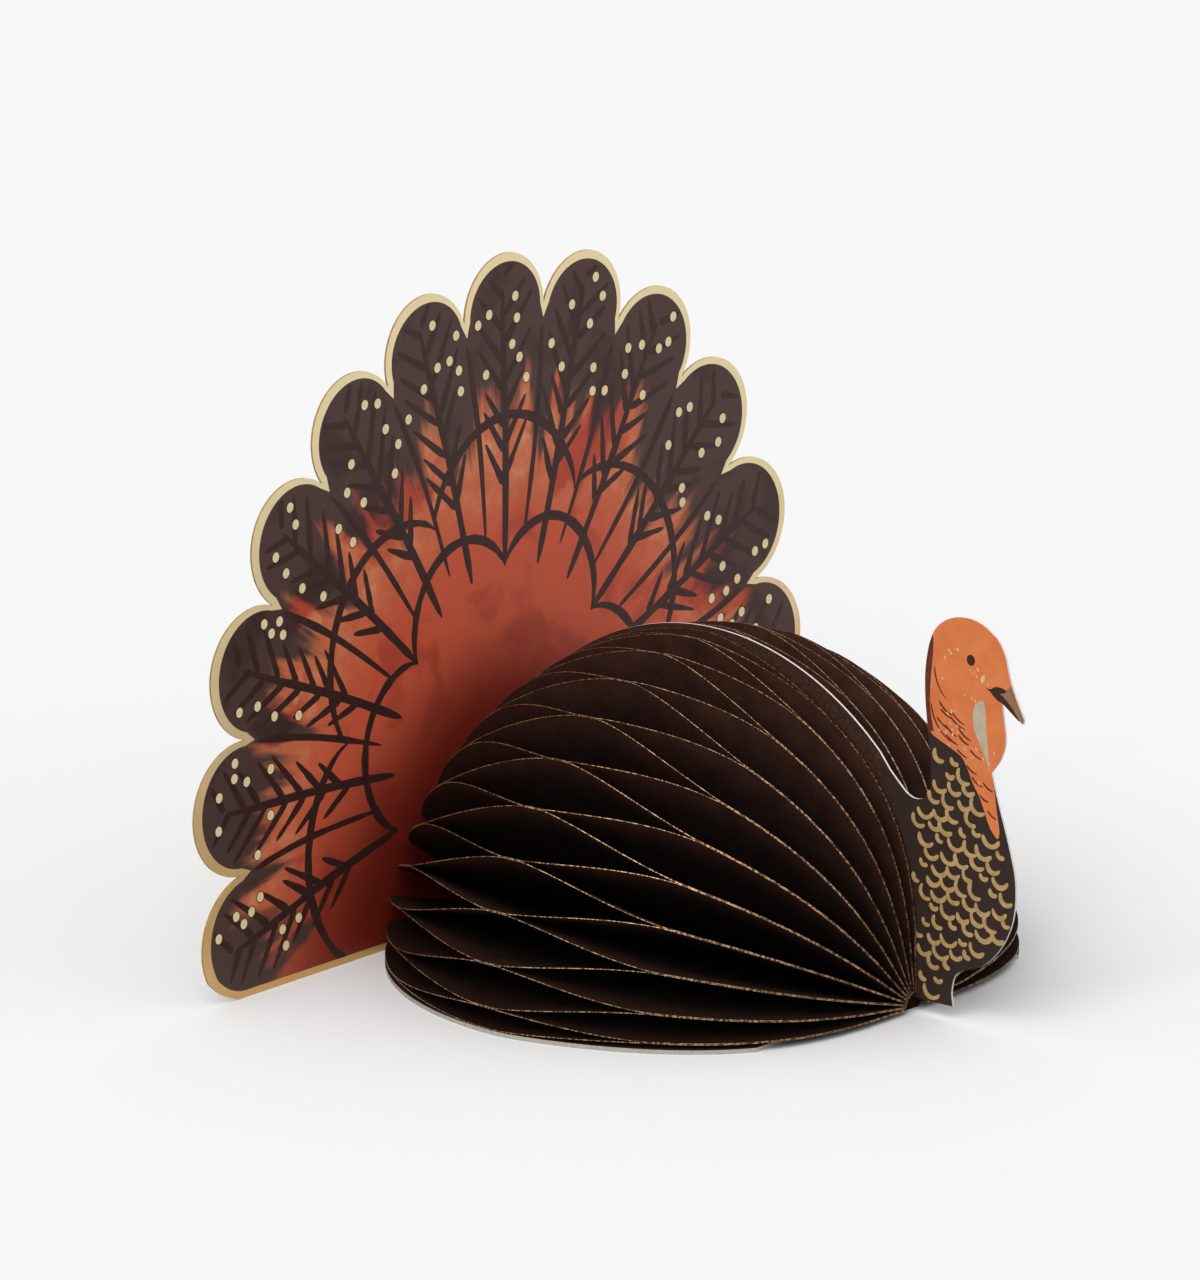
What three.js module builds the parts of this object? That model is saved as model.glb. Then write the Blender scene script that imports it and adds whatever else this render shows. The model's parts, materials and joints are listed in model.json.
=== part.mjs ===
// Honeycomb paper turkey, standing open on a table.
// One upright card holds the head in front and runs through the middle of the body. On each side of it
// paper sheets fan out from a spine down to a half-round base board, glued to each other in turn at
// columns, so that they open into cells. A scalloped tail card slots over the rear of the middle card.
// Millimetres, +Z up, head towards -Y, tail towards +Y, boards and tail on the ground at z = 0.
// The origin is under the middle of the whole, as long as it is from beak to rear tab.

import * as THREE from 'three';

// Body: the outline that the sheets and boards share, seen from above or from the side. It closes to a
// point in front and ends straight in the rear.
const bodyRadius = 87.9; // spine to the outer edge of a sheet, at the widest station
const bodyFront = 71; // widest station to the point in front, where all sheets meet
const bodyRear = 72.5; // widest station to the straight rear edge
const frontPower = 1.4; // how soon the outline turns in
const frontRoot = 0.29; // how blunt its end is
const rearEndShare = 0.551; // radius at the rear edge, of the body radius

// Sheets
const sheetsPerSide = 22; // an even number, so that the lowest and the topmost are glued at one column
const sheetThickness = 0.2;
const sheetGap = 0.1; // between two sheets where they are glued
const sheetEndShare = 0.995; // how far a sheet runs towards the front point
const crowdingShare = 0.94; // how much closer the sheets lie at the board and at the card
const crowdingPower = 4.6; // how near to them the sheets begin to crowd
const sagAngle = THREE.MathUtils.degToRad(0.7); // how far the middle of the fan sags
const topRiseShare = 0.024; // how much farther the topmost sheets reach, as the middle card draws them up
const topRisePower = 8; // how near to the card that begins
const glueColumns = 3;
const glueFirst = 27.8; // front point to the first glue column
const gluePitch = 48.3; // from one glue column to the next
const glueWidth = 7.5;
const bendShare = 0.4; // how much of a sheet's way between two glue columns is an S and not straight
const noseSteps = 10; // stations in front of the first glue column
const cellSteps = 5; // from one glue column to the next
const rearSteps = 3;

// Base boards
const boardThickness = 1.2;
const boardSetback = 10; // from the front point to a board's straight front edge
const boardSteps = 48;

// Middle card with the head
const cardThickness = 0.6;
const ridgeProud = 3.5; // the card's ridge above the top sheets
const neckFront = 65.6; // widest station to the foot of the neck
const ridgeFront = 57.6; // widest station to where the ridge begins to swing into the notch behind the neck
const ridgeEndShare = 0.651; // ridge height at the foot of the neck if it ran on, of its greatest height
const ridgeSteps = 32;
const beakReach = 40.4; // foot of the neck to the tip of the beak
const headHeight = 110.7; // ground to the crown
const cardClearance = 0.1; // card to the topmost sheets and to the spine
const smoothSteps = 6; // points on the head's outline from one given point to the next

// Outline of the head and breast. First number: forward of the foot of the neck, of the beak's reach.
// Second number: above the ground, of the head's height.
const breastShares = [
  [0.428, 0.036], [0.418, 0.077], [0.47, 0.123], [0.671, 0.154], [0.827, 0.21],
  [0.923, 0.285], [0.941, 0.375], [0.891, 0.456], [0.785, 0.575], [0.735, 0.637],
];
const wattleShares = [[0.735, 0.637], [0.814, 0.677], [0.849, 0.727], [0.814, 0.815]];
const beakUnderShares = [[0.814, 0.815], [0.936, 0.785], [0.993, 0.773]];
const headShares = [
  [1, 0.785], [0.916, 0.846], [0.849, 0.907], [0.755, 0.967], [0.589, 1], [0.399, 0.995],
  [0.25, 0.953], [0.186, 0.872], [0.183, 0.779], [0.223, 0.658], [0.233, 0.578], [0.191, 0.542],
  [0.115, 0.53], [0.04, 0.537], [-0.028, 0.557], [-0.113, 0.586],
];

// Spine
const spineSetback = 3; // from the sheets' front ends to the front end of the spine
const webThickness = 0.5; // of the spine under the middle card
const spineGap = 0.1; // sheets' inner edges to the spine
const spineSteps = 6;

// Tail card
const tailThickness = 0.6;
const tailGap = 0.6; // body's rear edge to the tail
const notchHalfWidth = 107.5; // ellipse that the notches between the lobes lie on
const notchHalfHeight = 123;
const notchCentreHeight = 45;
const lobeCount = 13;
const lobeStep = THREE.MathUtils.degToRad(17.31);
const lobeDepthShare = 1.03; // how far a lobe stands out, of half its width
const lobeSteps = 20;

// Slots where the tail and the middle card cross
const lapHeight = 25; // top of the tail's slot
const lapGap = 0.3;
const rearTab = 12; // middle card behind the tail
const rearTabShare = 0.6; // its rear height, of the ridge's height at the tail

// Places that follow from the sizes
const tailFrontY = bodyRear + tailGap;
const tailBackY = tailFrontY + tailThickness;
const cardFrontY = -neckFront - beakReach;
const cardRearY = tailBackY + rearTab;
const originY = (cardFrontY + cardRearY) / 2; // seen from the widest station
const sheetFrontY = -bodyFront * sheetEndShare;
const fanAngle = Math.PI / 2;
const rootPitchAngle = fanAngle / sheetsPerSide;
const rootRadius = (sheetThickness + sheetGap) / rootPitchAngle; // inner edges lie on this quarter circle
const fanX = cardThickness / 2 + cardClearance;
const fanZ = boardThickness + sheetGap;
const ridgeHeight = fanZ + bodyRadius + ridgeProud;

const paper = finish('paper', '#3a2419', 0.85);
const board = finish('board', '#d9d6d0', 0.9);
const glue = finish('glue', '#2a1b14', 0.7);
const headCard = finish('card', '#7d5337', 0.5);
const tailCard = finish('tail', '#b5502a', 0.5);

function finish(name, color, roughness) {
  return new THREE.MeshStandardMaterial({ name, color, roughness, metalness: 0 });
}

// Height of an ellipse at a distance from its highest station, as a share of its greatest height. It falls
// to endShare at the distance end.
function ellipseShare(distance, end, endShare) {
  return Math.sqrt(1 - (1 - endShare ** 2) * (distance / end) ** 2);
}

// Outer radius of the sheets at y, measured from the widest station
function bodyOutline(y) {
  if (y > 0) return bodyRadius * ellipseShare(y, bodyRear, rearEndShare);
  return bodyRadius * (1 - (-y / bodyFront) ** frontPower) ** frontRoot;
}

function ridgeOutline(y) {
  if (y > 0) return ridgeHeight * ellipseShare(y, bodyRear, rearEndShare);
  return ridgeHeight * ellipseShare(y, neckFront, ridgeEndShare);
}

function evenSteps(from, to, steps) {
  return Array.from({ length: steps + 1 }, (_, i) => from + (to - from) * i / steps);
}

// A flat piece cut out of board or card: the outline lies in the mesh's own XY plane, centred on z = 0
function cutOut(outline, thickness) {
  const shape = new THREE.Shape(outline);
  const geometry = new THREE.ExtrudeGeometry(shape, { depth: thickness, bevelEnabled: false });
  return geometry.translate(0, 0, -thickness / 2);
}

function addMesh(parent, name, geometry, material) {
  const mesh = new THREE.Mesh(geometry, material.clone());
  mesh.name = name;
  parent.add(mesh);
  return mesh;
}

// Where a sheet's inner edge lies on the spine's quarter circle
function rootAngle(number) {
  return (number - 0.5) * rootPitchAngle;
}

// Angle above the board at which sheet number and the next one are glued. Level 0 is the board, and the
// last is the middle card.
function glueAngle(level) {
  const power = crowdingPower + 1;
  const crowded = (share) => share - crowdingShare * Math.sign(share) * Math.abs(share) ** power / power;
  const taut = fanAngle / 2 * (1 + crowded(2 * level / sheetsPerSide - 1) / crowded(1));
  return taut - sagAngle * Math.sin(Math.PI * level / sheetsPerSide) ** 2;
}

// Sheets are glued two by two at the first and third columns, and the other two by two at the second,
// where the lowest is glued to the board and the topmost to the middle card.
function sheetAngle(number, y) {
  const odd = number % 2 === 1;
  const outerColumns = glueAngle(odd ? number : number - 1);
  const middleColumn = glueAngle(odd ? number - 1 : number);
  const fromMiddle = Math.abs(y + bodyFront - glueFirst - gluePitch);
  const straight = THREE.MathUtils.clamp((fromMiddle - glueWidth / 2) / (gluePitch - glueWidth), 0, 1);
  const curved = THREE.MathUtils.smoothstep(straight, 0, 1);
  const outward = THREE.MathUtils.lerp(straight, curved, bendShare);
  return THREE.MathUtils.lerp(middleColumn, outerColumns, outward);
}

// Stations along a sheet, front to rear: close together where the outline turns in at the front, and one
// at each edge of each glued strip
function sheetStations() {
  const strips = Array.from({ length: glueColumns }, (_, column) => {
    const y = -bodyFront + glueFirst + column * gluePitch;
    return [y - glueWidth / 2, y + glueWidth / 2];
  });
  const nose = evenSteps(Math.asin(sheetEndShare), Math.asin(-strips[0][0] / bodyFront), noseSteps);
  return [
    ...nose.map((angle) => -bodyFront * Math.sin(angle)),
    ...evenSteps(strips[0][1], strips[1][0], cellSteps),
    ...evenSteps(strips[1][1], strips[2][0], cellSteps),
    ...evenSteps(strips[2][1], bodyRear, rearSteps),
  ];
}

// One sheet on the side that sideways points to: straight lines run from its inner edge on the spine to
// its outer edge, and turn up and down about the spine on the way from front to rear.
function sheetGeometry(number, sideways) {
  const root = rootAngle(number);
  const rootX = rootRadius * Math.cos(root);
  const rootZ = rootRadius * Math.sin(root);
  const positions = [];
  for (const y of sheetStations()) {
    const angle = sheetAngle(number, y);
    const reach = bodyOutline(y) * (1 + topRiseShare * Math.sin(angle) ** topRisePower) - rootRadius;
    for (const [along, side] of [[0, -1], [reach, -1], [reach, 1], [0, 1]]) {
      const across = side * sheetThickness / 2;
      const x = rootX + along * Math.cos(angle) - across * Math.sin(angle);
      const z = rootZ + along * Math.sin(angle) + across * Math.cos(angle);
      positions.push(sideways * x, y, z);
    }
  }
  const faces = [];
  const addQuad = (a, b, c, d) => {
    if (sideways > 0) faces.push(a, b, c, a, c, d);
    else faces.push(a, c, b, a, d, c);
  };
  const last = 4 * (sheetStations().length - 1);
  addQuad(0, 1, 2, 3);
  for (let start = 0; start < last; start += 4) {
    for (let corner = 0; corner < 4; corner++) {
      const next = (corner + 1) % 4;
      const quad = [start + corner, start + 4 + corner, start + 4 + next, start + next];
      if (corner === 2) quad.push(quad.shift()); // split as below, so that the sheet keeps its thickness
      addQuad(...quad);
    }
  }
  addQuad(last + 3, last + 2, last + 1, last);
  const geometry = new THREE.BufferGeometry();
  geometry.setAttribute('position', new THREE.Float32BufferAttribute(positions, 3));
  geometry.setIndex(faces);
  geometry.computeVertexNormals();
  return geometry;
}

function addSheets(parent, side, sideways) {
  const fan = new THREE.Group();
  fan.position.set(sideways * fanX, 0, fanZ);
  parent.add(fan);
  for (let number = 1; number <= sheetsPerSide; number++) {
    const name = `sheet_${side}_${String(number).padStart(2, '0')}`;
    addMesh(fan, name, sheetGeometry(number, sideways), paper);
  }
}

function addBoard(parent, side, sideways) {
  const innerX = fanX + rootRadius + spineGap;
  const frontY = -bodyFront + boardSetback;
  const outline = evenSteps(frontY, bodyRear, boardSteps).map(
    (y) => new THREE.Vector2(sideways * (fanX + bodyOutline(y)), y),
  );
  outline.push(new THREE.Vector2(sideways * innerX, bodyRear));
  outline.push(new THREE.Vector2(sideways * innerX, frontY));
  const mesh = addMesh(parent, `board_${side}`, cutOut(outline, boardThickness), board);
  mesh.position.z = boardThickness / 2;
}

// The bead of glue that holds the sheets' inner edges, with a groove for the middle card. It runs down to
// the ground between the two boards.
function addSpine(parent) {
  const radius = rootRadius - sheetThickness / 2 - spineGap;
  const grooveX = cardThickness / 2 + cardClearance;
  const outline = [];
  for (const sideways of [-1, 1]) {
    const half = evenSteps(0, fanAngle, spineSteps).map((angle) => new THREE.Vector2(
      sideways * (fanX + radius * Math.cos(angle)),
      fanZ + radius * Math.sin(angle),
    ));
    half.unshift(new THREE.Vector2(sideways * (fanX + radius), 0));
    half.push(new THREE.Vector2(sideways * grooveX, webThickness));
    outline.push(...(sideways < 0 ? half : half.reverse()));
  }
  const frontY = sheetFrontY + spineSetback;
  const mesh = addMesh(parent, 'spine_bead', cutOut(outline, bodyRear - frontY), glue);
  mesh.rotation.x = Math.PI / 2;
  mesh.position.y = (bodyRear + frontY) / 2;
}

function headPoint([forwardShare, heightShare]) {
  return new THREE.Vector2(-neckFront - beakReach * forwardShare, headHeight * heightShare);
}

function smooth(shares) {
  return new THREE.SplineCurve(shares.map(headPoint)).getPoints(smoothSteps * (shares.length - 1));
}

// Middle card, drawn seen from the +X side: across is y, up is z
function addMiddleCard(parent) {
  const bottomZ = webThickness + cardClearance;
  const footZ = headPoint(breastShares[0]).y;
  const slotFrontY = tailFrontY - lapGap;
  const slotBackY = tailBackY + lapGap;
  const ridgeAtTail = ridgeOutline(slotFrontY);
  const outline = [
    new THREE.Vector2(-neckFront, bottomZ),
    new THREE.Vector2(-neckFront, footZ),
    ...smooth(breastShares),
    ...smooth(wattleShares).slice(1),
    ...smooth(beakUnderShares).slice(1),
    ...smooth(headShares),
    ...evenSteps(-ridgeFront, slotFrontY, ridgeSteps).map((y) => new THREE.Vector2(y, ridgeOutline(y))),
    new THREE.Vector2(slotFrontY, lapHeight - lapGap),
    new THREE.Vector2(slotBackY, lapHeight - lapGap),
    new THREE.Vector2(slotBackY, ridgeAtTail),
    new THREE.Vector2(cardRearY, ridgeAtTail * rearTabShare),
    new THREE.Vector2(cardRearY, bottomZ),
  ];
  const mesh = addMesh(parent, 'centre_card', cutOut(outline, cardThickness), headCard);
  mesh.rotation.set(Math.PI / 2, 0, Math.PI / 2, 'ZYX');
}

function notchPoint(index) {
  const angle = (index - lobeCount / 2) * lobeStep;
  return new THREE.Vector2(
    notchHalfWidth * Math.sin(angle),
    notchCentreHeight + notchHalfHeight * Math.cos(angle),
  );
}

// Half an ellipse that stands out between two notches
function lobePoints(index) {
  const from = notchPoint(index);
  const to = notchPoint(index + 1);
  const middle = from.clone().add(to).multiplyScalar(0.5);
  const along = to.clone().sub(from).multiplyScalar(0.5);
  const outward = new THREE.Vector2(-along.y, along.x).multiplyScalar(lobeDepthShare);
  return evenSteps(0, Math.PI, lobeSteps).slice(0, -1).map((turn) => middle.clone()
    .addScaledVector(along, -Math.cos(turn))
    .addScaledVector(outward, Math.sin(turn)));
}

// Keeps what is above the ground, and ends it there at both sides
function standOnGround(points) {
  const first = points.findIndex((point) => point.y > 0);
  const last = points.findLastIndex((point) => point.y > 0);
  const foot = (above, below) => {
    if (!below) return new THREE.Vector2(above.x, 0);
    return above.clone().lerp(below, above.y / (above.y - below.y));
  };
  return [
    foot(points[first], points[first - 1]),
    ...points.slice(first, last + 1),
    foot(points[last], points[last + 1]),
  ];
}

function addTail(parent) {
  const lobes = [];
  for (let index = 0; index < lobeCount; index++) lobes.push(...lobePoints(index));
  lobes.push(notchPoint(lobeCount));
  const slotX = cardThickness / 2 + lapGap;
  const outline = [
    ...standOnGround(lobes),
    new THREE.Vector2(slotX, 0),
    new THREE.Vector2(slotX, lapHeight),
    new THREE.Vector2(-slotX, lapHeight),
    new THREE.Vector2(-slotX, 0),
  ];
  const mesh = addMesh(parent, 'tail_fan', cutOut(outline, tailThickness), tailCard);
  mesh.rotation.x = Math.PI / 2;
  mesh.position.y = tailFrontY + tailThickness / 2;
}

const group = new THREE.Group();
const turkey = new THREE.Group();
turkey.position.y = -originY;
group.add(turkey);
addMiddleCard(turkey);
addSpine(turkey);
addBoard(turkey, 'left', -1);
addBoard(turkey, 'right', 1);
addSheets(turkey, 'left', -1);
addSheets(turkey, 'right', 1);
addTail(turkey);

export default group;
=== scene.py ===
# %% [markdown]
# # A honeycomb paper turkey
# The decoration stands open on a table. One upright card carries the printed head and runs through the
# middle. Paper sheets fan out from it on both sides, glued to each other in turn at three columns, so that
# they open into cells. A scalloped tail card stands behind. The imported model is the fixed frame: every
# piece made here takes its place from it and rides on one of its bodies.

# %% Frame and units
import json
import math
import random

import bmesh
import bpy
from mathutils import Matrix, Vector, noise


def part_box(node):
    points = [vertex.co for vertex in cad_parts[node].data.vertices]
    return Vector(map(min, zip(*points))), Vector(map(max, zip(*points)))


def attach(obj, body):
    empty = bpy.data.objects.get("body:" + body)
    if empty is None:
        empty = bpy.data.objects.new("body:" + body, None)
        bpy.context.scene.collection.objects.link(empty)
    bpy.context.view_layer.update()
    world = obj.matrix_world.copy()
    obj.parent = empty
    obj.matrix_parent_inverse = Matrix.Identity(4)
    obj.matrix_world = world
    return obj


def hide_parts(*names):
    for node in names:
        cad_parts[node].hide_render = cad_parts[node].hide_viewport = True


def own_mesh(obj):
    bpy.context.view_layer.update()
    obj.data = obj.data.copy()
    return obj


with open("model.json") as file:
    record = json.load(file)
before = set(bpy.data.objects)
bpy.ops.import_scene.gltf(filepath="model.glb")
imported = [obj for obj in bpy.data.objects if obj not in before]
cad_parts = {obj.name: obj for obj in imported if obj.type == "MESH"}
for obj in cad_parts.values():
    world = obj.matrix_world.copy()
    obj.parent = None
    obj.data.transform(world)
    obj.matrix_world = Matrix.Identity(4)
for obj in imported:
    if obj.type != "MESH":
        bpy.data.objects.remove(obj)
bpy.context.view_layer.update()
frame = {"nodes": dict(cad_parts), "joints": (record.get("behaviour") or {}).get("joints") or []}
hinges = {joint["name"]: joint for joint in frame["joints"] if joint["type"] == "hinge"}
MM = 0.001

# %% [markdown]
# ## Sizes
# The print and the finer sheets need the same few sizes as the model: how far the body reaches in front of
# and behind its widest station, and the columns where the sheets are glued. The rest is read off the frame.

# %% Sizes in millimetres
BODY_RADIUS = 87.9
BODY_FRONT = 71
BODY_REAR = 72.5
FRONT_POWER = 1.4
FRONT_ROOT = 0.29
REAR_END_SHARE = 0.551
SHEETS_PER_SIDE = 22
SHEET_THICKNESS = 0.2
SHEET_END_SHARE = 0.995
CROWDING_SHARE, CROWDING_POWER = 0.94, 4.6
SAG_ANGLE = math.radians(0.7)
TOP_RISE_SHARE, TOP_RISE_POWER = 0.024, 8
GLUE_FIRST = 27.8
GLUE_PITCH = 48.3
GLUE_WIDTH = 7.5
BEND_SHARE = 0.4
FAN_GAP = 0.1
CARD_THICKNESS = 0.6
RIDGE_PROUD = 3.5
RIDGE_END_SHARE = 0.651
RIDGE_FRONT = 57.6
NECK_FRONT = 65.6
BEAK_REACH = 40.4
HEAD_HEIGHT = 110.7
BOARD_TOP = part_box("board_left")[1].z / MM
FAN_Z = BOARD_TOP + FAN_GAP
RIDGE_HEIGHT = FAN_Z + BODY_RADIUS + RIDGE_PROUD
WIDEST_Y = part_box("board_left")[1].y / MM - BODY_REAR
TAIL_FRONT_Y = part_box("tail_fan")[0].y / MM
TAIL_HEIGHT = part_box("tail_fan")[1].z / MM
print("widest station at y =", round(WIDEST_Y, 2), "mm, tail at", round(TAIL_FRONT_Y, 2), "mm")

# %% [markdown]
# ## Materials
# Colours are written as they look on screen, in sRGB hex, and one function turns them to the linear values
# that the shader wants. A second one adds a node with its settings and links, and a third makes a material
# of the shader that is drawn for it. Pattern sizes are real sizes: a pattern of s millimetres has a scale of
# one over s on Object coordinates.

# %% Colour and node helpers
def linear(hex_colour):
    """The linear RGBA of an sRGB hex colour."""
    channels = [int(hex_colour[i:i + 2], 16) / 255 for i in (1, 3, 5)]
    return (*[c / 12.92 if c <= 0.04045 else ((c + 0.055) / 1.055) ** 2.4 for c in channels], 1)


def add(tree, kind, inputs=None, **settings):
    """Adds a node, sets its settings, and gives each input a value or a link. A node given as an input
    stands for its first output that is in use, and a hex text for its colour."""
    node = tree.nodes.new("ShaderNode" + kind)
    for name, value in settings.items():
        setattr(node, name, value)
    for socket, value in (inputs or {}).items():
        if isinstance(value, str):
            value = linear(value)
        if isinstance(value, bpy.types.Node):
            value = next(output for output in value.outputs if output.enabled)
        if isinstance(value, bpy.types.NodeSocket):
            tree.links.new(value, node.inputs[socket])
        else:
            node.inputs[socket].default_value = value
    return node


def make_material(name, draw):
    """A material whose shader is drawn by a function on its empty node tree."""
    material = bpy.data.materials.new(name)
    material.use_nodes = True
    material.node_tree.nodes.clear()
    add(material.node_tree, "OutputMaterial", {"Surface": draw(material.node_tree)})
    return material


FACTOR, MIX_A, MIX_B = 0, 6, 7
SMOOTH = {"interpolation_type": "SMOOTHSTEP"}

# %% [markdown]
# ### Dyed paper and gilt edges
# The sheets are thick craft paper, dyed nearly black. Such paper is as matt as felt: its roughness is near
# one and it has hardly any gloss, so that the cells stay deep and dark. Painted shade is added to its
# colour: some millimetres in from the outer edge the paper is painted darker, as the shade inside the
# cells, so the shader reads how far a point is from the outer edge, which the mesh carries as an attribute,
# and the rims are painted darker low down, as the shade on the lower sheets. The cut edges of the block are
# gilded: the foil takes only where it touches, so the gold is broken into copper specks, rougher than a
# polished metal. Noises of different size give the mottle, the fibre and the specks without any image.

# %% Paper and gilt
CELL_SHADE_REACH = 17


def dyed_paper(tree):
    place = add(tree, "TexCoord").outputs["Object"]
    mottle = add(tree, "TexNoise", {"Vector": place, "Scale": 1 / (7 * MM), "Detail": 4})
    fibre = add(tree, "TexNoise", {"Vector": place, "Scale": 1 / (0.9 * MM), "Detail": 3, "Roughness": 0.7})
    both = add(tree, "Math", {0: mottle, 1: fibre}, operation="MULTIPLY")
    spread = add(tree, "MapRange", {"Value": both, "From Min": 0.14, "From Max": 0.36})
    dyed = add(tree, "Mix", {FACTOR: spread, MIX_A: "#39221b", MIX_B: "#4a2e25"}, data_type="RGBA")
    height = add(tree, "SeparateXYZ", {0: place})
    # Painted shade: the rim colour darkens low down, as the lower sheets lie in shade.
    above_low_shade = add(tree, "MapRange", {"Value": height.outputs["Z"], "From Min": 5 * MM, "From Max": 75 * MM})
    rim = add(tree, "Mix", {FACTOR: above_low_shade, MIX_A: "#26150f", MIX_B: dyed}, data_type="RGBA")
    # Painted shade: this darker colour, reached some millimetres in from the outer edge, is the shade inside
    # the cells.
    deep = add(tree, "Mix", {FACTOR: spread, MIX_A: "#211614", MIX_B: "#30211c"}, data_type="RGBA")
    distance = add(tree, "Attribute", attribute_name="from_rim")
    cell_shade_amount = add(tree, "MapRange", {"Value": distance.outputs["Fac"], "From Max": CELL_SHADE_REACH * MM}, **SMOOTH)
    colour = add(tree, "Mix", {FACTOR: cell_shade_amount, MIX_A: rim, MIX_B: deep}, data_type="RGBA")
    bump = add(tree, "Bump", {"Height": fibre, "Strength": 0.25, "Distance": 0.08 * MM})
    return add(tree, "BsdfPrincipled", {
        "Base Color": colour, "Roughness": 0.92, "Specular IOR Level": 0.06, "Normal": bump})


def gilt_edge(tree):
    place = add(tree, "TexCoord").outputs["Object"]
    specks = add(tree, "TexNoise", {"Vector": place, "Scale": 1 / (0.8 * MM), "Detail": 3, "Roughness": 0.7})
    taken = add(tree, "MapRange", {"Value": specks, "From Min": 0.46, "From Max": 0.58})
    colour = add(tree, "Mix", {FACTOR: taken, MIX_A: "#432a1d", MIX_B: "#cfa473"}, data_type="RGBA")
    bump = add(tree, "Bump", {"Height": specks, "Strength": 0.5, "Distance": 0.1 * MM})
    return add(tree, "BsdfPrincipled", {
        "Base Color": colour, "Metallic": 0.55, "Roughness": 0.42, "Normal": bump})


PAPER = make_material("dyed_craft_paper", dyed_paper)
GILT = make_material("gilt_paper_edge", gilt_edge)
print("materials", PAPER.name, GILT.name)

# %% [markdown]
# ### Greyboard
# The base boards are greyboard, pressed from waste paper: pale, matt and flecked. Their upper faces are lined
# with the same brown paper as the sheets. The boards keep their modelled solids, so one material has to carry
# both. The Normal output of Texture Coordinate is the face's direction in the object's own space, and turns
# with it: where it points up, the board is lined.

# %% Board
def lined_greyboard(tree):
    place = add(tree, "TexCoord")
    flecks = add(tree, "TexNoise", {
        "Vector": place.outputs["Object"], "Scale": 1 / (0.8 * MM), "Detail": 5, "Roughness": 0.8})
    shade = add(tree, "MapRange", {"Value": flecks, "From Min": 0.3, "From Max": 0.7})
    pulp = add(tree, "Mix", {FACTOR: shade, MIX_A: "#a8a196", MIX_B: "#d0cbc2"}, data_type="RGBA")
    facing = add(tree, "SeparateXYZ", {0: place.outputs["Normal"]})
    lined = add(tree, "Math", {0: facing.outputs["Z"], 1: 0.5}, operation="GREATER_THAN")
    colour = add(tree, "Mix", {FACTOR: lined, MIX_A: pulp, MIX_B: "#341e17"}, data_type="RGBA")
    bump = add(tree, "Bump", {"Height": flecks, "Strength": 0.3, "Distance": 0.05 * MM})
    return add(tree, "BsdfPrincipled", {
        "Base Color": colour, "Roughness": 0.9, "Specular IOR Level": 0.2, "Normal": bump})


GREYBOARD = make_material("lined_greyboard", lined_greyboard)
print("material", GREYBOARD.name)

# %% [markdown]
# ### Printed card and inks
# The head and the tail are coated card: print with a satin coat on the faces, and the pale core of the stock
# at the cut edges. Only the tail's cut edge is gold, because its foil runs over it. Offset inks are thin and
# never quite even, so each ink mixes two near colours with a noise of a few millimetres. The coat is drawn
# with roughness 0.5 and little gloss, because a stronger gloss veils the dark browns. One function makes
# them all, and each ink gives it a name, two colours and the size of its mottle.

# %% Card and inks
def coated_card(name, dark, light, mottle_mm):
    def draw(tree):
        place = add(tree, "TexCoord").outputs["Object"]
        wash = add(tree, "TexNoise", {"Vector": place, "Scale": 1 / (mottle_mm * MM), "Detail": 5})
        amount = add(tree, "MapRange", {"Value": wash, "From Min": 0.35, "From Max": 0.65})
        colour = add(tree, "Mix", {FACTOR: amount, MIX_A: dark, MIX_B: light}, data_type="RGBA")
        grain = add(tree, "TexNoise", {"Vector": place, "Scale": 1 / (0.5 * MM), "Detail": 2})
        bump = add(tree, "Bump", {"Height": grain, "Strength": 0.08, "Distance": 0.03 * MM})
        return add(tree, "BsdfPrincipled", {
            "Base Color": colour, "Roughness": 0.5, "Specular IOR Level": 0.2, "Normal": bump})
    return make_material(name, draw)


CARD_CORE = coated_card("card_core", "#d9d5cc", "#efece6", 1)
GOLD_RIM = coated_card("gold_card_edge", "#9c7a48", "#b8945c", 2)
CARD_BACK = coated_card("plain_card_back", "#dcd1c0", "#e0d6c6", 9)
SKIN_INK = coated_card("orange_skin_ink", "#e57e47", "#ee8b54", 7)
MAROON_INK = coated_card("maroon_ink", "#5d2a20", "#7a3a2a", 2)
DARK_INK = coated_card("dark_brown_ink", "#35201c", "#402722", 2)
BEAK_INK = coated_card("taupe_beak_ink", "#95694c", "#a97c5c", 2)
THROAT_INK = coated_card("stone_grey_ink", "#c3b6a0", "#d0c2aa", 3)
CREAM_INK = coated_card("cream_ink", "#fde0a6", "#fff0c4", 1)
PEACH_INK = coated_card("peach_ink", "#f0b58a", "#f8d0aa", 1)
BREAST_INK = coated_card("matt_gold_ink", "#b9945f", "#caaa74", 2)
print("materials so far", len(bpy.data.materials))
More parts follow.
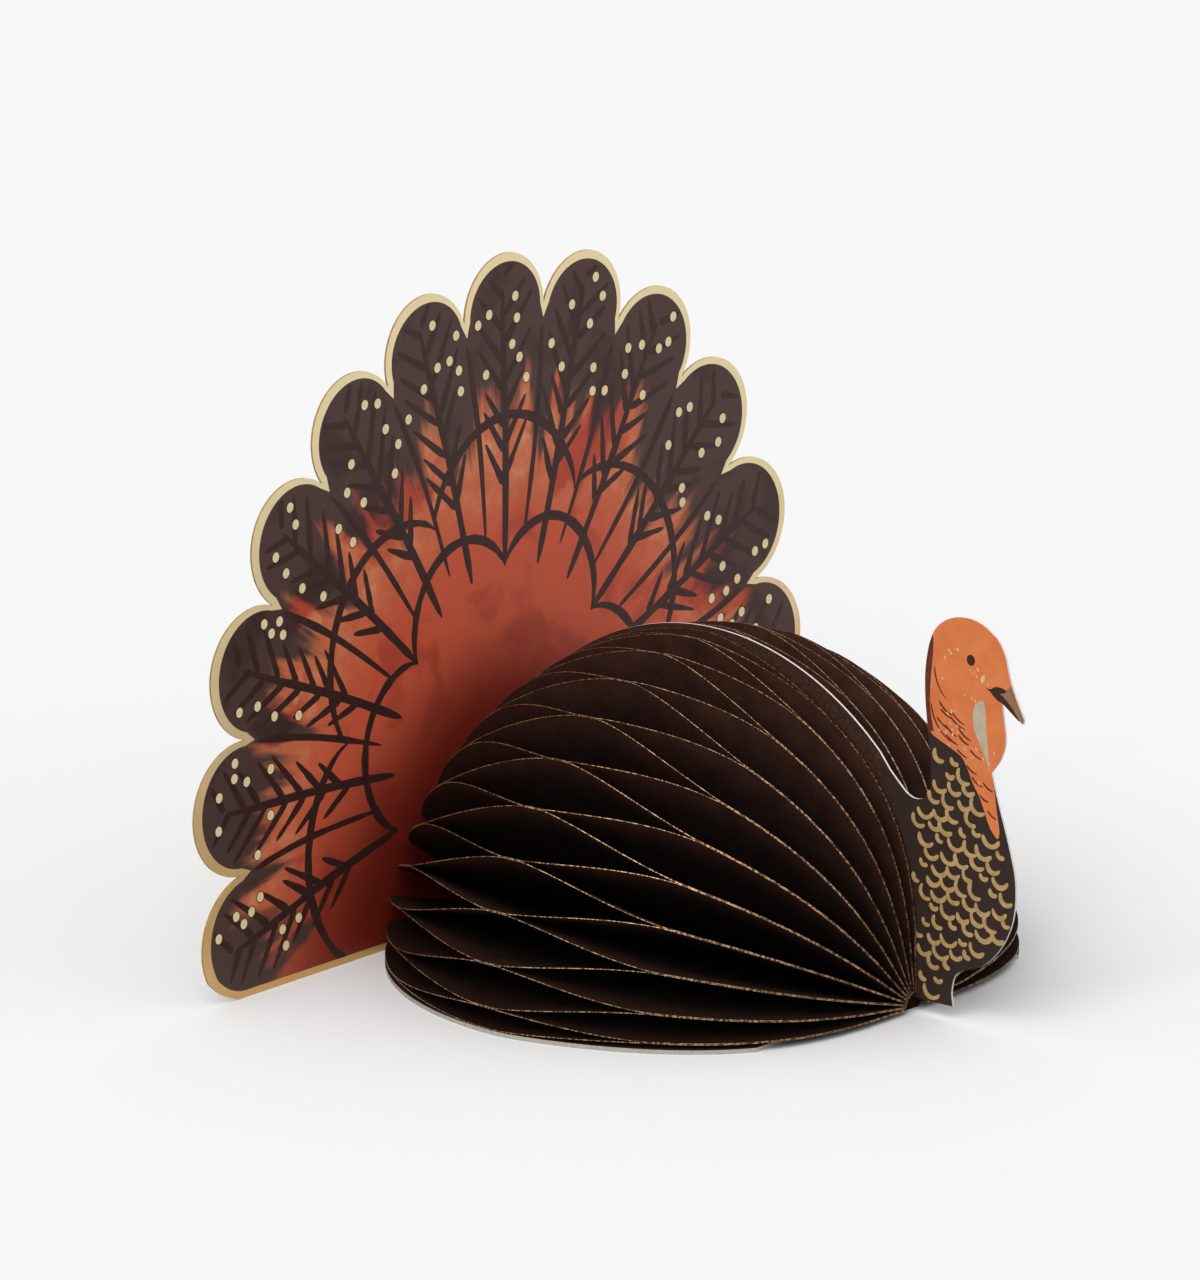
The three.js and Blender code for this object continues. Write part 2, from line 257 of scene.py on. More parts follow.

# %% [markdown]
# ### The middle card's print and the gold foil
# The middle card is printed brown: nearly even on the breast, and warmer and speckled on the ridge along the
# back, so its shader turns from one to the other by the place along the card. The tail's border is stamped
# gold foil. Foil on card isn't a mirror: the paper's texture makes it rough, and it follows the card's slow
# waves, which a bump draws. Painted light is added to its colour: it is painted pale at the top and deeper
# gold at the foot, as lit from above, and the slow ripple of the waves is painted into it as light too.

# %% Middle card's print and foil
def brown_print(tree):
    place = add(tree, "TexCoord").outputs["Object"]
    wash = add(tree, "TexNoise", {"Vector": place, "Scale": 1 / (5 * MM), "Detail": 4})
    specks = add(tree, "TexNoise", {"Vector": place, "Scale": 1 / (0.9 * MM), "Detail": 4, "Roughness": 0.75})
    amount = add(tree, "MapRange", {"Value": specks, "From Min": 0.38, "From Max": 0.66})
    breast = add(tree, "Mix", {FACTOR: wash, MIX_A: "#322521", MIX_B: "#3b2c27"}, data_type="RGBA")
    ridge = add(tree, "Mix", {FACTOR: amount, MIX_A: "#331f18", MIX_B: "#50362a"}, data_type="RGBA")
    along = add(tree, "SeparateXYZ", {0: place})
    behind = add(tree, "MapRange", {
        "Value": along.outputs["Y"], "From Min": (WIDEST_Y - NECK_FRONT) * MM,
        "From Max": (WIDEST_Y - RIDGE_FRONT) * MM})
    colour = add(tree, "Mix", {FACTOR: behind, MIX_A: breast, MIX_B: ridge}, data_type="RGBA")
    return add(tree, "BsdfPrincipled", {"Base Color": colour, "Roughness": 0.55, "Specular IOR Level": 0.2})


def stamped_foil(tree):
    place = add(tree, "TexCoord").outputs["Object"]
    ripple = add(tree, "TexNoise", {"Vector": place, "Scale": 1 / (14 * MM), "Detail": 3})
    apart = add(tree, "SeparateXYZ", {0: place})
    # Painted light: paler higher up and deeper gold at the foot, with the ripple painted in as light on the
    # waves.
    height = add(tree, "MapRange", {"Value": apart.outputs["Z"], "From Max": TAIL_HEIGHT * MM})
    painted_light_level = add(tree, "Math", {0: ripple, 1: 0.5, 2: height}, operation="MULTIPLY_ADD")
    shade = add(tree, "MapRange", {"Value": painted_light_level, "From Min": 0.3, "From Max": 0.8})
    gold_with_painted_light = add(tree, "Mix", {FACTOR: shade, MIX_A: "#e4b46e", MIX_B: "#ffeab6"}, data_type="RGBA")
    bump = add(tree, "Bump", {"Height": ripple, "Strength": 0.25, "Distance": 0.6 * MM})
    return add(tree, "BsdfPrincipled", {
        "Base Color": gold_with_painted_light, "Metallic": 0.2, "Roughness": 0.4, "Normal": bump})


HEAD_PRINT = make_material("brown_printed_card", brown_print)
FOIL = make_material("stamped_gold_foil", stamped_foil)
print("materials", HEAD_PRINT.name, FOIL.name)

# %% [markdown]
# ### The tail's print
# The tail card carries a watercolour wash: dark brown at the feather tips, rust and orange further in, and
# red towards the body. The wash follows the fan, so the shader first works out how far out a point is, as a
# share of the ellipse that the notches lie on, and which feather it is on. Wet paint runs along the feathers
# in tongues: a noise stretched in that direction moves the border between dark and warm in and out, and a
# finer one roughens it. The dark tips grow shorter down both sides. Low on the card, next to the body, the
# red is painted darker, as painted shade from the body.

# %% Tail print
NOTCH_HALF_WIDTH = 107.5
NOTCH_HALF_HEIGHT = 123
NOTCH_CENTRE_HEIGHT = 45
LOBE_COUNT = 13
LOBE_STEP = math.radians(17.31)
LOBE_DEPTH_SHARE = 1.03
TONGUE_WIDTH, TONGUE_LENGTH = 11, 60


def tail_print(tree):
    place = add(tree, "TexCoord").outputs["Object"]
    centred = add(tree, "VectorMath", {0: place, 1: (0, 0, -NOTCH_CENTRE_HEIGHT * MM)}, operation="ADD")
    fan = add(tree, "VectorMath", {
        0: centred, 1: (1 / (NOTCH_HALF_WIDTH * MM), 0, 1 / (NOTCH_HALF_HEIGHT * MM))},
        operation="MULTIPLY")
    reach = add(tree, "VectorMath", {0: fan}, operation="LENGTH").outputs["Value"]
    apart = add(tree, "SeparateXYZ", {0: fan})
    angle = add(tree, "Math", {0: apart.outputs["X"], 1: apart.outputs["Z"]}, operation="ARCTAN2")
    around = add(tree, "Math", {0: angle, 1: NOTCH_HALF_HEIGHT / TONGUE_WIDTH}, operation="MULTIPLY")
    outward = add(tree, "Math", {0: reach, 1: NOTCH_HALF_HEIGHT / TONGUE_LENGTH}, operation="MULTIPLY")
    stretched = add(tree, "CombineXYZ", {"X": around, "Y": outward})
    tongues = add(tree, "TexNoise", {"Vector": stretched, "Scale": 1, "Detail": 3, "Roughness": 0.5})
    wet = add(tree, "TexNoise", {"Vector": place, "Scale": 1 / (7 * MM), "Detail": 5, "Roughness": 0.6})
    bloom = add(tree, "TexNoise", {"Vector": place, "Scale": 1 / (22 * MM), "Detail": 4, "Distortion": 0.8})
    run = add(tree, "Math", {0: tongues, 1: 0.75, 2: reach}, operation="MULTIPLY_ADD")
    rough = add(tree, "Math", {0: wet, 1: 0.16, 2: run}, operation="MULTIPLY_ADD")
    aside = add(tree, "Math", {0: angle}, operation="ABSOLUTE")
    edge = add(tree, "Math", {0: aside, 1: -0.1, 2: rough}, operation="MULTIPLY_ADD")
    tip = add(tree, "MapRange", {"Value": edge, "From Min": 1.12, "From Max": 1.26}, **SMOOTH)
    upper = add(tree, "Math", {0: apart.outputs["Z"], 1: 0.35, 2: reach}, operation="MULTIPLY_ADD")
    inner = add(tree, "MapRange", {"Value": upper, "From Min": 0.64, "From Max": 0.94}, **SMOOTH)
    # Painted shade: low on the card, next to the body, the red is painted darker, as the body's shade.
    low = add(tree, "Math", {0: apart.outputs["Z"], 1: 1.2, 2: reach}, operation="MULTIPLY_ADD")
    painted_body_shade = add(tree, "MapRange", {"Value": low, "From Min": 0.25, "From Max": 0.78}, **SMOOTH)
    patch = add(tree, "MapRange", {"Value": bloom, "From Min": 0.34, "From Max": 0.5}, **SMOOTH)
    glow = add(tree, "MapRange", {"Value": wet, "From Min": 0.45, "From Max": 0.7})
    orange = add(tree, "Mix", {FACTOR: glow, MIX_A: "#dd7650", MIX_B: "#f2a074"}, data_type="RGBA")
    warm = add(tree, "Mix", {FACTOR: inner, MIX_A: "#de6245", MIX_B: orange}, data_type="RGBA")
    stained = add(tree, "Mix", {FACTOR: patch, MIX_A: "#c44f39", MIX_B: warm}, data_type="RGBA")
    deep = add(tree, "Mix", {FACTOR: painted_body_shade, MIX_A: "#84281c", MIX_B: stained}, data_type="RGBA")
    brown = add(tree, "Mix", {FACTOR: patch, MIX_A: "#422b29", MIX_B: "#523c37"}, data_type="RGBA")
    wash = add(tree, "Mix", {FACTOR: tip, MIX_A: deep, MIX_B: brown}, data_type="RGBA")
    return add(tree, "BsdfPrincipled", {"Base Color": wash, "Roughness": 0.5, "Specular IOR Level": 0.2})


TAIL_PRINT = make_material("watercolour_printed_card", tail_print)
print("material", TAIL_PRINT.name)

# %% [markdown]
# ## Finished pieces
# Every piece ends the same way: its mesh becomes an object at the origin with its materials, it rides on a
# body of the frame, and the frame's solids that it replaces are hidden.

# %% Finish a piece
def new_object(name, data):
    """An object at the origin, in the scene."""
    item = bpy.data.objects.new(name, data)
    bpy.context.scene.collection.objects.link(item)
    return item


def finish_piece(bm, name, materials, body, replaced=(), thickness=None, rim=0, offset_slot=0):
    """Turns a bmesh into a finished piece. A flat one gets its thickness from Solidify."""
    mesh = bpy.data.meshes.new(name)
    bm.to_mesh(mesh)
    bm.free()
    for material in materials:
        mesh.materials.append(material)
    piece = new_object(name, mesh)
    if thickness:
        thick = piece.modifiers.new("thickness", "SOLIDIFY")
        thick.thickness = thickness * MM
        thick.offset = 0
        thick.material_offset_rim = rim
        thick.material_offset = offset_slot
    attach(piece, body)
    if replaced:
        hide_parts(*replaced)
    return piece

# %% [markdown]
# ## The honeycomb sheets
# A sheet leaves the spine at its inner edge and is glued to the sheet above it at the first and third
# columns and to the sheet below it at the second, and the next sheet the other way round. Between the columns
# it swings over from one to the other, so its outer edge draws a wave. It could be cloth pulled apart by a
# simulation, but the glue decides nearly all of the shape, so a formula is exact and quick. A grid with its
# points moved by it gives one smooth surface, and Solidify gives that the paper's thickness.

# %% Where a sheet lies
def body_outline(y):
    """Outer radius of the sheets at y, measured from the widest station."""
    if y > 0:
        return BODY_RADIUS * math.sqrt(1 - (1 - REAR_END_SHARE ** 2) * (y / BODY_REAR) ** 2)
    return BODY_RADIUS * (1 - (-y / BODY_FRONT) ** FRONT_POWER) ** FRONT_ROOT


def glue_angle(level):
    """Angle above the board at which a sheet and the next one are glued: closer at the board and the card."""
    power = CROWDING_POWER + 1

    def crowded(share):
        return share - CROWDING_SHARE * math.copysign(abs(share) ** power, share) / power

    taut = math.pi / 4 * (1 + crowded(2 * level / SHEETS_PER_SIDE - 1) / crowded(1))
    return taut - SAG_ANGLE * math.sin(math.pi * level / SHEETS_PER_SIDE) ** 2


def sheet_angle(number, y):
    """Angle of sheet number at y: flat in the glued strips, and swinging over between them."""
    odd = number % 2 == 1
    outer, middle = (number, number - 1) if odd else (number - 1, number)
    from_middle = abs(y + BODY_FRONT - GLUE_FIRST - GLUE_PITCH)
    straight = min(max((from_middle - GLUE_WIDTH / 2) / (GLUE_PITCH - GLUE_WIDTH), 0), 1)
    curved = straight * straight * (3 - 2 * straight)
    swing = straight + (curved - straight) * BEND_SHARE
    return glue_angle(middle) + (glue_angle(outer) - glue_angle(middle)) * swing


levels = [glue_angle(level) for level in range(SHEETS_PER_SIDE + 1)]
print("glued levels in degrees", [round(math.degrees(angle), 1) for angle in levels])

# %% [markdown]
# ### One sheet
# The stations along the sheet crowd together in front, where the outline turns in sharply. The outermost row
# of faces is a few hundredths of a millimetre wide and takes the gilt, as does the rim that Solidify closes
# the paper with. Each point keeps its distance from the outer edge for the paper's shader.

# %% One sheet
STATIONS = 96
ROWS = 8
GILT_WIDTH = 0.06
NOSE_SHARE = 0.5


def station(share):
    """y of a share of the way from the front point to the rear, closer together in front."""
    if share < NOSE_SHARE:
        return -BODY_FRONT * math.sin(math.asin(SHEET_END_SHARE) * (1 - share / NOSE_SHARE))
    return BODY_REAR * (share - NOSE_SHARE) / (1 - NOSE_SHARE)


def make_sheet(name, sideways, number):
    root = Vector(hinges[name + "_fold"]["pos_m"]) / MM
    root_radius = math.hypot(abs(root.x) - CARD_THICKNESS / 2 - FAN_GAP, root.z - FAN_Z)
    bm = bmesh.new()
    bmesh.ops.create_grid(bm, x_segments=STATIONS, y_segments=ROWS, size=1)
    for face in bm.faces:
        face.smooth = True
        face.material_index = int(face.calc_center_median().y > 1 - 2 / ROWS)
    for edge in bm.edges:
        edge.smooth = not edge.is_boundary
    from_rim = bm.verts.layers.float.new("from_rim")
    for vert in bm.verts:
        y = station((vert.co.x + 1) / 2)
        row = round((vert.co.y + 1) / 2 * ROWS)
        angle = sheet_angle(number, y)
        rise = 1 + TOP_RISE_SHARE * math.sin(angle) ** TOP_RISE_POWER
        paper = body_outline(y) * rise - root_radius - GILT_WIDTH
        along = paper * row / (ROWS - 1) if row < ROWS else paper + GILT_WIDTH
        vert[from_rim] = (paper - along) * MM
        vert.co = Vector((root.x + sideways * along * math.cos(angle), WIDEST_Y + y,
                          root.z + along * math.sin(angle))) * MM
    piece = finish_piece(bm, "paper_" + name, [PAPER, GILT], name, [name], SHEET_THICKNESS, rim=1)
    lean = (glue_angle(number - 1) + glue_angle(number)) / 2
    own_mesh(piece)


# %% All sheets
for side, sideways in (("left", -1), ("right", 1)):
    for number in range(1, SHEETS_PER_SIDE + 1):
        make_sheet(f"sheet_{side}_{number:02d}", sideways, number)
print("sheets", 2 * SHEETS_PER_SIDE)

# %% [markdown]
# ## The middle card
# One flat cut-out: head, breast, the notch behind the neck and the ridge. A card like this is die-cut, so its
# edge is one smooth line. It could be traced with a curve object, but a curve through a few points is as
# smooth and stays easy to read. The points are shares of the beak's reach in front of the neck's foot and of
# the head's height.

# %% Outline of the middle card
BREAST_SHARES = [(0.428, 0.036), (0.418, 0.077), (0.47, 0.123), (0.671, 0.154), (0.827, 0.21),
                 (0.923, 0.285), (0.941, 0.375), (0.891, 0.456), (0.785, 0.575), (0.735, 0.637)]
WATTLE_SHARES = [(0.735, 0.637), (0.814, 0.677), (0.849, 0.727), (0.814, 0.815)]
BEAK_UNDER_SHARES = [(0.814, 0.815), (0.936, 0.785), (0.993, 0.773)]
HEAD_SHARES = [(1, 0.785), (0.914, 0.846), (0.87, 0.89), (0.836, 0.932), (0.765, 0.97), (0.6, 1),
               (0.399, 0.995), (0.25, 0.953), (0.186, 0.872), (0.183, 0.779), (0.223, 0.658), (0.233, 0.578),
               (0.191, 0.542), (0.115, 0.53), (0.04, 0.537), (-0.028, 0.557), (-0.113, 0.586)]
CURVE_STEPS = 8
RIDGE_STEPS = 60
LAP_HEIGHT = 25
LAP_GAP = 0.3
REAR_TAB = 12
REAR_TAB_SHARE = 0.6
TAIL_GAP = 0.6
TAIL_THICKNESS = 0.6
CARD_BOTTOM = 0.6


def smooth_line(points, steps):
    """A smooth curve through points, with its ends at the first and the last."""
    line = []
    spans = len(points) - 1
    for i in range(steps + 1):
        place = i / steps * spans
        k = min(int(place), spans - 1)
        t = place - k
        a, b = points[max(k - 1, 0)], points[k]
        c, d = points[k + 1], points[min(k + 2, spans)]
        line.append(Vector([
            b[j] + t * (c[j] - a[j]) / 2 + t * t * (a[j] - 2.5 * b[j] + 2 * c[j] - 0.5 * d[j])
            + t ** 3 * (1.5 * b[j] - 1.5 * c[j] + 0.5 * d[j] - 0.5 * a[j]) for j in (0, 1)]))
    return line


def head_point(share):
    """Place on the middle card, as (y, z) in millimetres, from forward and height shares."""
    return Vector((WIDEST_Y - NECK_FRONT - BEAK_REACH * share[0], HEAD_HEIGHT * share[1]))


def head_curve(shares, closed=False):
    """A smooth line through points of the head."""
    line = smooth_line([head_point(share) for share in shares], CURVE_STEPS * (len(shares) - 1))
    return line[:-1] if closed else line


def ridge_height(y):
    end, share = (BODY_REAR, REAR_END_SHARE) if y > 0 else (NECK_FRONT, RIDGE_END_SHARE)
    return RIDGE_HEIGHT * math.sqrt(1 - (1 - share ** 2) * (y / end) ** 2)


def card_outline():
    slot_front = BODY_REAR + TAIL_GAP - LAP_GAP
    slot_back = slot_front + TAIL_THICKNESS + 2 * LAP_GAP
    rear = slot_back - LAP_GAP + REAR_TAB
    ridge = [-RIDGE_FRONT + (slot_front + RIDGE_FRONT) * i / RIDGE_STEPS for i in range(RIDGE_STEPS + 1)]
    tail_top = ridge_height(slot_front)
    lap_top = LAP_HEIGHT - LAP_GAP
    rear_points = [(slot_front, lap_top), (slot_back, lap_top), (slot_back, tail_top),
                   (rear, tail_top * REAR_TAB_SHARE), (rear, CARD_BOTTOM), (-NECK_FRONT, CARD_BOTTOM)]
    return [
        *head_curve(BREAST_SHARES),
        *head_curve(WATTLE_SHARES)[1:],
        *head_curve(BEAK_UNDER_SHARES)[1:],
        *head_curve(HEAD_SHARES),
        *[Vector((WIDEST_Y + y, ridge_height(y))) for y in ridge],
        *[Vector((WIDEST_Y + y, z)) for y, z in rear_points],
        Vector((WIDEST_Y - NECK_FRONT, HEAD_HEIGHT * BREAST_SHARES[0][1])),
    ]


CARD_OUTLINE = card_outline()
print("middle card outline points", len(CARD_OUTLINE))

# %% [markdown]
# ### Cutting a flat shape
# A capped circle with as many corners as the outline has points is one face, and moving its corners to the
# points gives the cut-out. Solidify turns the face into card: the print stays on both faces, and the rim
# takes the second material, the pale core.

# %% Middle card
def lay_patch(bm, points, place):
    """A flat shape: a capped circle with as many corners as there are points, moved onto them."""
    ring = bmesh.ops.create_circle(bm, segments=len(points), radius=1, cap_ends=True)["verts"]
    for vert, point in zip(ring, points):
        vert.co = place(point)


bm = bmesh.new()
lay_patch(bm, CARD_OUTLINE, lambda point: Vector((0, point.x, point.y)) * MM)
card = finish_piece(bm, "printed_middle_card", [HEAD_PRINT, CARD_CORE], "card",
                    ["centre_card"], CARD_THICKNESS, rim=1)
print("middle card", [round(side / MM, 1) for side in card.dimensions], "mm")

# %% [markdown]
# ## Prints on the middle card
# The card is printed alike on both faces. Each ink is a film, a few hundredths of a millimetre thick, that
# lies on the face and sinks a little into it. The orange skin follows the card's own edge, so its border is
# taken from the outline and closed with the neckline. Strokes that may overlap are lifted a few thousandths
# of a millimetre from each other, because two faces in one plane flicker.

# %% Inks as films
INK = 0.04
FIRST_LIFT, SECOND_LIFT, THIRD_LIFT = 0, 0.02, 0.04
LIFT_STEP = 0.003
END_POWER = 6
WAVER_SHARE, WAVER_PER_MM = 0.35, 0.3
DOT_CORNERS = 14


def on_head(sideways, lift):
    """Gives the place on one face of the middle card for a point of its outline's plane."""
    x = sideways * (CARD_THICKNESS / 2 + lift)
    return lambda point: Vector((x, point.x, point.y)) * MM


def nearest(point, outline):
    return min(range(len(outline)), key=lambda i: (outline[i] - point).length)


def edge_between(start_share, end_share):
    """The card's own edge from one place to another, in the outline's order."""
    start = nearest(head_point(start_share), CARD_OUTLINE)
    end = nearest(head_point(end_share), CARD_OUTLINE)
    return CARD_OUTLINE[start:end + 1]


def inside(point, outline):
    """Whether a point lies in an outline, by the crossings of a line to its right."""
    crossings = 0
    for a, b in zip(outline, outline[1:] + outline[:1]):
        if (a.y > point.y) != (b.y > point.y):
            crossings += point.x < a.x + (b.x - a.x) * (point.y - a.y) / (b.y - a.y)
    return crossings % 2 == 1


def lay_stroke(bm, path, width, place, segments=8, taper=0):
    """A brush stroke along path: a grid's points moved to both sides of the line. Its ends are round, and
    its width wavers a little and may taper."""
    strip = bmesh.ops.create_grid(bm, x_segments=segments, y_segments=1, size=1)["verts"]
    for vert in strip:
        t = (1 - math.cos(math.pi * (vert.co.x + 1) / 2)) / 2
        middle = path(t)
        ahead = (path(t + 0.01) - path(t - 0.01)).normalized()
        round_end = max(1 - abs(2 * t - 1) ** END_POWER, 0.01) ** 0.5
        waver = 1 + WAVER_SHARE * noise.noise(Vector((middle.x, middle.y, 0)) * WAVER_PER_MM)
        vert.co = place(middle + Vector((-ahead.y, ahead.x)) * vert.co.y / 2 * width * round_end * waver
                        * (1 - taper * t))


def turned(x, y, turn):
    return Vector((x * math.cos(turn) - y * math.sin(turn), x * math.sin(turn) + y * math.cos(turn)))


def lay_dot(bm, centre, across, along, turn, place):
    """An oval dot."""
    ring = bmesh.ops.create_circle(bm, segments=DOT_CORNERS, radius=1, cap_ends=True)["verts"]
    for vert in ring:
        vert.co = place(centre + turned(vert.co.x * across / 2, vert.co.y * along / 2, turn))


def print_head(name, lay, material):
    """One ink: lay draws it, on both faces of the middle card."""
    bm = bmesh.new()
    for sideways in (-1, 1):
        lay(bm, sideways)
    finish_piece(bm, name, [material], "card", (), INK)


# %% Skin, painted shade along the back of the head, throat and beak
NECKLINE_SHARES = [(0.198, 0.715), (0.24, 0.699), (0.305, 0.688), (0.396, 0.675), (0.486, 0.659),
                   (0.538, 0.632), (0.577, 0.603), (0.629, 0.576), (0.668, 0.548), (0.72, 0.505),
                   (0.777, 0.48), (0.798, 0.481), (0.805, 0.5), (0.785, 0.541), (0.759, 0.601)]
HEAD_EDGE_SHADE_SHARES = [(0.255, 0.708), (0.236, 0.735), (0.222, 0.77), (0.222, 0.82), (0.236, 0.872), (0.243, 0.905),
               (0.246, 0.932)]
THROAT_SHARES = [(0.64, 0.808), (0.598, 0.796), (0.58, 0.775), (0.58, 0.751), (0.598, 0.725), (0.633, 0.704),
                 (0.67, 0.683), (0.698, 0.662), (0.715, 0.642), (0.712, 0.667), (0.704, 0.69), (0.696, 0.716),
                 (0.688, 0.747), (0.682, 0.778), (0.67, 0.805), (0.64, 0.808)]
BEAK_ROOT_SHARES = [(0.685, 0.842), (0.722, 0.842), (0.755, 0.849), (0.797, 0.851), (0.834, 0.849),
                    (0.853, 0.843), (0.82, 0.838), (0.802, 0.834), (0.825, 0.831), (0.862, 0.82),
                    (0.909, 0.805), (0.962, 0.779), (0.895, 0.795), (0.844, 0.808), (0.816, 0.814),
                    (0.788, 0.817), (0.75, 0.826), (0.722, 0.835), (0.685, 0.842)]
BEAK_BACK_SHARES = [(0.893, 0.86), (0.866, 0.852), (0.835, 0.844), (0.805, 0.834), (0.845, 0.82),
                    (0.968, 0.779)]

SKIN = edge_between((0.735, 0.637), (0.198, 0.715)) + head_curve(NECKLINE_SHARES)[1:]
BEAK = edge_between((0.993, 0.773), (0.905, 0.858)) + head_curve(BEAK_BACK_SHARES)
# Painted shade: a maroon strip along the back edge of the head, as the shade on that edge.
HEAD_EDGE_SHADE = edge_between((0.238, 0.94), (0.21, 0.705)) + head_curve(HEAD_EDGE_SHADE_SHARES)
THROAT = head_curve(THROAT_SHARES, closed=True)
BEAK_ROOT = head_curve(BEAK_ROOT_SHARES, closed=True)

for name, outline, material, lift in (
        ("skin_print", SKIN, SKIN_INK, FIRST_LIFT),
        ("beak_print", BEAK, BEAK_INK, SECOND_LIFT),
        ("head_edge_shade_print", HEAD_EDGE_SHADE, MAROON_INK, SECOND_LIFT),
        ("throat_print", THROAT, THROAT_INK, SECOND_LIFT),
        ("beak_root_print", BEAK_ROOT, DARK_INK, THIRD_LIFT)):
    print_head(name, lambda bm, sideways: lay_patch(bm, outline, on_head(sideways, lift)), material)
print("skin outline points", len(SKIN))

# %% [markdown]
# ### Eye, neck lines and specks
# The eye is one dark oval. Short bowed brush lines run down the neck, and small pale flecks catch the light
# on the skin. Drawing each by hand in edit mode would work as well, but a seeded random draw places them
# unevenly, as a brush does, and the same way each time.

# %% Eye and small marks
EYE_SHARE = (0.558, 0.902)
EYE_WIDTH, EYE_HEIGHT = 2.8, 3
NECK_PATH = [(0.36, 0.785), (0.4, 0.75), (0.45, 0.715), (0.56, 0.665), (0.66, 0.6), (0.73, 0.54)]
NECK_ROWS = (1, 2, 2, 2, 2, 2, 1, 2, 1, 1)
NECK_COLUMN, NECK_STAGGER = 4.1, 0.8
NECK_LINE_SPAN, NECK_LINE_WIDTH = 3.8, 0.66
LONG_LINES = (((0.258, 0.868), (0.357, 0.793), 0.12), ((0.229, 0.776), (0.4, 0.69), 0.14))
FLECK_PLACES = (((0.62, 0.855), 12), ((0.42, 0.72), 16), ((0.4, 0.905), 5), ((0.64, 0.66), 9))
FLECK_SPREAD = (2.4, 2.8)
MOUTH_FLECK = (head_point((0.658, 0.862)), 1.2, 2.2, 0.3)
random.seed(7)


def lay_eye(bm, sideways):
    lay_dot(bm, head_point(EYE_SHARE), EYE_WIDTH, EYE_HEIGHT, 0, on_head(sideways, THIRD_LIFT))


def neck_lines():
    """Start, span and bow of each line, in millimetres: long lines behind the cheek and down the nape, and
    short ones that follow the neck down and grow fewer."""
    lines = [(head_point(start), head_point(end) - head_point(start), bow) for start, end, bow in LONG_LINES]
    centre = smooth_line([head_point(share) for share in NECK_PATH], len(NECK_ROWS) - 1)
    for row, (middle, count) in enumerate(zip(centre, NECK_ROWS)):
        for k in range(count):
            aside = (k - (count - 1) / 2) * NECK_COLUMN + NECK_STAGGER * (-1) ** row
            start = middle + Vector((
                aside + NECK_LINE_SPAN / 2 + random.uniform(-0.4, 0.4), random.uniform(-0.3, 1.3)))
            size = random.uniform(0.95, 1.4) * (1 - 0.04 * row)
            span = Vector((-NECK_LINE_SPAN, random.uniform(-2.6, -1.8))) * size
            lines.append((start, span, random.uniform(0.06, 0.14)))
    return lines


def skin_flecks():
    """Middle, width, length and turn of each fleck."""
    flecks = []
    for share, count in FLECK_PLACES:
        for _ in range(count):
            spot = head_point(share) + Vector([random.gauss(0, spread) for spread in FLECK_SPREAD])
            if inside(spot, SKIN) and not inside(spot, THROAT) and not inside(spot, BEAK_ROOT):
                width, length = random.uniform(0.3, 0.6), random.uniform(0.6, 1.2)
                flecks.append((spot, width, length, random.uniform(-0.9, 0.5)))
    return [*flecks, MOUTH_FLECK]


NECK_LINES = neck_lines()
SKIN_FLECKS = skin_flecks()


def lay_neck_lines(bm, sideways):
    for i, (start, span, bow) in enumerate(NECK_LINES):
        def path(t, start=start, span=span, bow=bow):
            return start + span * t + Vector((-span.y, span.x)) * bow * 4 * t * (1 - t)
        lift = SECOND_LIFT + LIFT_STEP * (i % 5)
        lay_stroke(bm, path, NECK_LINE_WIDTH, on_head(sideways, lift), taper=0.4)


def lay_flecks(bm, sideways):
    for i, (spot, across, along, turn) in enumerate(SKIN_FLECKS):
        lay_dot(bm, spot, across, along, turn, on_head(sideways, SECOND_LIFT + LIFT_STEP * (i % 6)))


print_head("eye_print", lay_eye, DARK_INK)
print_head("neck_line_print", lay_neck_lines, MAROON_INK)
print_head("skin_fleck_print", lay_flecks, PEACH_INK)
print("neck lines", len(NECK_LINES), "flecks", len(SKIN_FLECKS))

# %% [markdown]
# ### Breast scales
# Scales in rows, each set half a width over from the one above, are an old pattern for feathers. Each
# scale is one bowed stroke of gold ink. A scale is printed only if all of it lies on the breast.

# %% Breast scales
SCALE_WIDTH = 5
SCALE_DROP = 2.6
SCALE_ROW = 3.8
SCALE_LINE = 1.3
SCALE_MARGIN = 0.5
SCALE_STEP = 0.002
SCALE_JITTER = 0.6
BREAST_TOP_SHARE, BREAST_BACK_SHARE = 0.69, 0.09


def scale_path(middle, width, lean):
    """A bow that hangs down, leaning over."""
    def path(t):
        turn = math.pi * (0.04 + 0.92 * t)
        bowl = -math.sin(turn) * width / SCALE_WIDTH * SCALE_DROP
        return middle + turned(-math.cos(turn) * width / 2, bowl, lean)
    return path


def breast_scales():
    """The path of each scale that fits on the breast."""
    scales = []
    front = head_point((1, 0)).x
    back = head_point((BREAST_BACK_SHARE, 0)).x
    rows = int(HEAD_HEIGHT * BREAST_TOP_SHARE / SCALE_ROW)
    for row in range(1, rows):
        y = front + (row % 2) * SCALE_WIDTH / 2
        while y < back:
            y += SCALE_WIDTH
            middle = Vector([at + random.uniform(-SCALE_JITTER, SCALE_JITTER) for at in (y, row * SCALE_ROW)])
            lean = random.uniform(0.1, 0.95)
            width = SCALE_WIDTH * random.choice((0.5, 0.8, 0.9, 1, 1.1))
            path = scale_path(middle, width, lean)
            ends = [path(0), path(0.5), path(1), path(0.5) + Vector((0, -SCALE_MARGIN))]
            on_card = all(inside(end, CARD_OUTLINE) and end.x < back for end in ends)
            if on_card and not any(inside(end, SKIN) for end in ends):
                scales.append(path)
    return scales


BREAST_SCALES = breast_scales()


